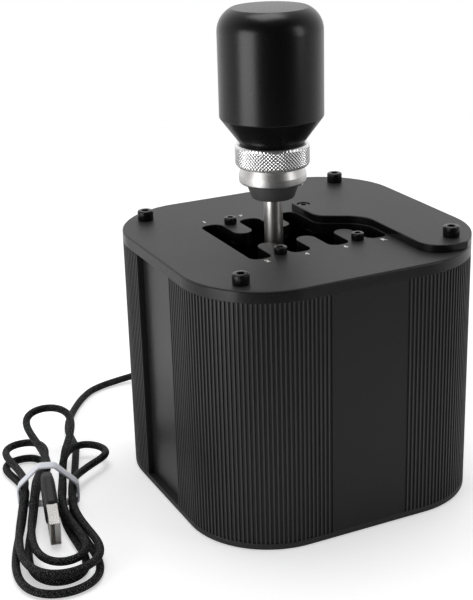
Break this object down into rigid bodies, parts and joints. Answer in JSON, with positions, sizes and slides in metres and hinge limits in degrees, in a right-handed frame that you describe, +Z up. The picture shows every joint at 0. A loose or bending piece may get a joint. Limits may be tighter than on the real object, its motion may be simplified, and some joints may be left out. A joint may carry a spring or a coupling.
{
  "type": "sim racing gear shifter",
  "caption": "Gated manual gear shifter for a racing simulator: fluted box housing, slotted top plate, rocking and sliding lever with a round knob, and a tied plug lead.",
  "frame": {"origin": "centre of the underside of the base plate", "axes": "+Z up along the lever, +X to the driver's right, +Y away from the driver"},
  "size_m": [0.2095, 0.1922, 0.2093],
  "materials": {
    "plate": "satin black anodised plate",
    "shell": "black anodised fluted extrusion",
    "panel": "grey anodised sheet",
    "liner": "black moulded, dull",
    "screw": "black oxide",
    "block": "black anodised, machined",
    "ground_steel": "ground",
    "spring": "drawn wire",
    "bronze": "sintered",
    "rod": "polished",
    "cone": "dark grey anodised",
    "bright": "bright turned",
    "knob": "satin black anodised",
    "board": "green circuit board",
    "standoff": "bright",
    "switch": "black moulded",
    "plunger": "red moulded",
    "header": "ivory moulded",
    "cord": "black braid over a flexible jacket",
    "boot": "black moulded",
    "tie": "white, flat",
    "nickel": "nickel plated sheet",
    "tongue": "white moulded"
  },
  "bodies": {
    "housing": {"base_plate": "plate", "gate_plate": "plate", "reverse_cover": "plate", "front_shell": "shell", "rear_shell": "shell", "left_panel": "panel", "right_panel": "panel", "gate_liner": "liner", "corner_screws": "screw", "gate_screws": "screw", "base_screws": "screw", "rod_grub_screws": "screw", "left_end_block": "block", "right_end_block": "block", "guide_rods": "ground_steel", "board_screws": "ground_steel", "left_springs": "spring", "right_springs": "spring", "switch_board": "board", "board_standoffs": "standoff", "micro_switches": "switch", "controller_chip": "switch", "cord_header": "header", "inner_lead": "cord", "cord_lead": "cord", "cord_hank": "cord", "cord_tail": "cord", "cord_gland": "boot", "plug_body": "boot", "cable_tie": "tie", "plug_shell": "nickel", "plug_tongue": "tongue"},
    "carriage": {"carriage": "block", "carriage_bushes": "bronze", "pivot_pin": "ground_steel", "retaining_rings": "spring", "detent_plunger": "spring", "detent_ball": "ground_steel"},
    "lever": {"lever_hub": "block", "hub_grub_screw": "screw", "lever_rod": "rod", "striker": "ground_steel", "lock_cone": "cone", "collar": "bright", "knurled_ring": "bright", "knob": "knob"},
    "plunger_1": {"plunger_1": "plunger"},
    "plunger_2": {"plunger_2": "plunger"},
    "plunger_3": {"plunger_3": "plunger"},
    "plunger_4": {"plunger_4": "plunger"},
    "plunger_5": {"plunger_5": "plunger"},
    "plunger_6": {"plunger_6": "plunger"},
    "plunger_r": {"plunger_r": "plunger"}
  },
  "joints": [
    {"name": "select", "type": "slide", "parent": "housing", "child": "carriage", "axis": [1, 0, 0], "range_m": [-0.0183, 0.0183], "stiffness_N_per_m": 600, "deforming": ["left_springs", "right_springs"]},
    {"name": "shift", "type": "hinge", "parent": "carriage", "child": "lever", "pos_m": [-0.00915, 0, 0.054], "axis": [1, 0, 0], "range_deg": [-20, 20]},
    {"name": "press_1", "type": "slide", "parent": "housing", "child": "plunger_1", "axis": [0, -1, 0], "range_m": [0, 0.001], "stiffness_N_per_m": 300},
    {"name": "press_2", "type": "slide", "parent": "housing", "child": "plunger_2", "axis": [0, 1, 0], "range_m": [0, 0.001], "stiffness_N_per_m": 300},
    {"name": "press_3", "type": "slide", "parent": "housing", "child": "plunger_3", "axis": [0, -1, 0], "range_m": [0, 0.001], "stiffness_N_per_m": 300},
    {"name": "press_4", "type": "slide", "parent": "housing", "child": "plunger_4", "axis": [0, 1, 0], "range_m": [0, 0.001], "stiffness_N_per_m": 300},
    {"name": "press_5", "type": "slide", "parent": "housing", "child": "plunger_5", "axis": [0, -1, 0], "range_m": [0, 0.001], "stiffness_N_per_m": 300},
    {"name": "press_6", "type": "slide", "parent": "housing", "child": "plunger_6", "axis": [0, 1, 0], "range_m": [0, 0.001], "stiffness_N_per_m": 300},
    {"name": "press_r", "type": "slide", "parent": "housing", "child": "plunger_r", "axis": [0, 1, 0], "range_m": [0, 0.001], "stiffness_N_per_m": 300}
  ]
}
